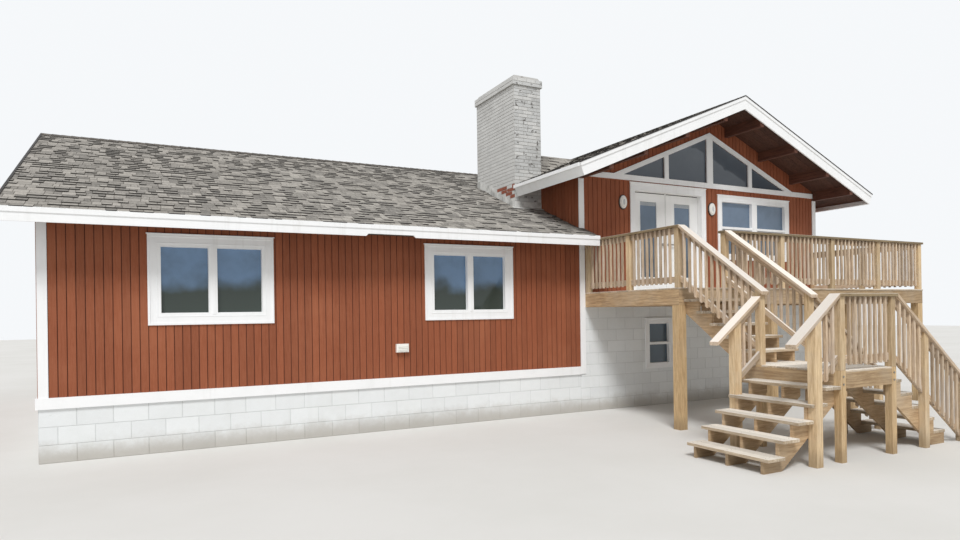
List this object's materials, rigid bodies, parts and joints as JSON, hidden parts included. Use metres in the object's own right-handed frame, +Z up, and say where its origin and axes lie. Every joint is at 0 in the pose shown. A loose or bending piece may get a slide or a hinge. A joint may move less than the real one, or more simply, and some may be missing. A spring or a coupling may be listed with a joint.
{
  "type": "beach house",
  "caption": "Beach house with a low wing, a tall gabled part, a chimney, and a raised deck reached by steps from a landing.",
  "frame": {"origin": "middle of the underside of the tall part's lower floor, at the lowest ground level", "axes": "+Z up, the front with deck and doors faces -Y, the low wing lies towards -X"},
  "size_m": [15.6221, 14.439, 6.4712],
  "materials": {
    "siding": "matt stain on grooved boards",
    "trim_paint": "white paint",
    "door_paint": "white paint",
    "shingle": "mineral granules on asphalt",
    "block_paint": "white paint on concrete block",
    "concrete": "bare concrete",
    "chimney_masonry": "peeling white paint on brick",
    "deck_wood": "weathered",
    "rim_wood": "weathered",
    "rail_wood": "weathered",
    "post_wood": "newer wood, honey coloured",
    "floor_wood": "oiled boards",
    "beam_stain": "dark stain",
    "glass": "clear",
    "light_cover": "opal",
    "hardware": "satin"
  },
  "bodies": {
    "house": {"block_walls": "block_paint", "chimney": "chimney_masonry", "chimney_cricket": "shingle", "corner_boards": "trim_paint", "deck_boards": "deck_wood", "deck_frame": "rim_wood", "deck_posts": "post_wood", "deck_rail_front": "rail_wood", "deck_rail_left": "rail_wood", "deck_rail_right": "rail_wood", "door_frame": "trim_paint", "door_hinges": "hardware", "eave_fascias": "trim_paint", "front_gable_wall": "siding", "front_wall_left": "siding", "front_wall_right": "siding", "gable_trim": "trim_paint", "landing_boards": "deck_wood", "landing_frame": "rim_wood", "landing_posts": "post_wood", "landing_rail": "rail_wood", "left_flight_rails": "rail_wood", "left_flight_treads": "deck_wood", "lower_floor": "concrete", "main_floor": "floor_wood", "main_roof_left": "shingle", "main_roof_right": "shingle", "rake_boards": "trim_paint", "right_flight_rails": "rail_wood", "right_flight_treads": "deck_wood", "roof_beams": "beam_stain", "roof_saddle": "shingle", "stair_stringers": "rim_wood", "tall_window_frames": "trim_paint", "tall_window_glass": "glass", "transom_glass": "glass", "upper_back_wall": "siding", "upper_flight_rails": "rail_wood", "upper_flight_treads": "deck_wood", "upper_left_wall": "siding", "upper_right_wall": "siding", "utility_box": "light_cover", "wall_lights": "light_cover", "water_table": "trim_paint", "wing_back_wall": "siding", "wing_end_wall": "siding", "wing_floor": "floor_wood", "wing_foundation": "block_paint", "wing_front_wall": "siding", "wing_roof_back": "shingle", "wing_roof_front": "shingle", "wing_window_frames": "trim_paint", "wing_window_glass": "glass"},
    "left_leaf": {"door_left": "door_paint", "door_left_glass": "glass", "door_left_hardware": "hardware"},
    "right_leaf": {"door_right": "door_paint", "door_right_glass": "glass", "door_right_hardware": "hardware"}
  },
  "joints": [
    {"name": "left_door_hinge", "type": "hinge", "parent": "house", "child": "left_leaf", "pos_m": [-1.952, -4.153, 3.1], "axis": [0, 0, 1], "range_deg": [0, 90]},
    {"name": "right_door_hinge", "type": "hinge", "parent": "house", "child": "right_leaf", "pos_m": [-0.228, -4.153, 3.1], "axis": [0, 0, -1], "range_deg": [0, 90]}
  ]
}
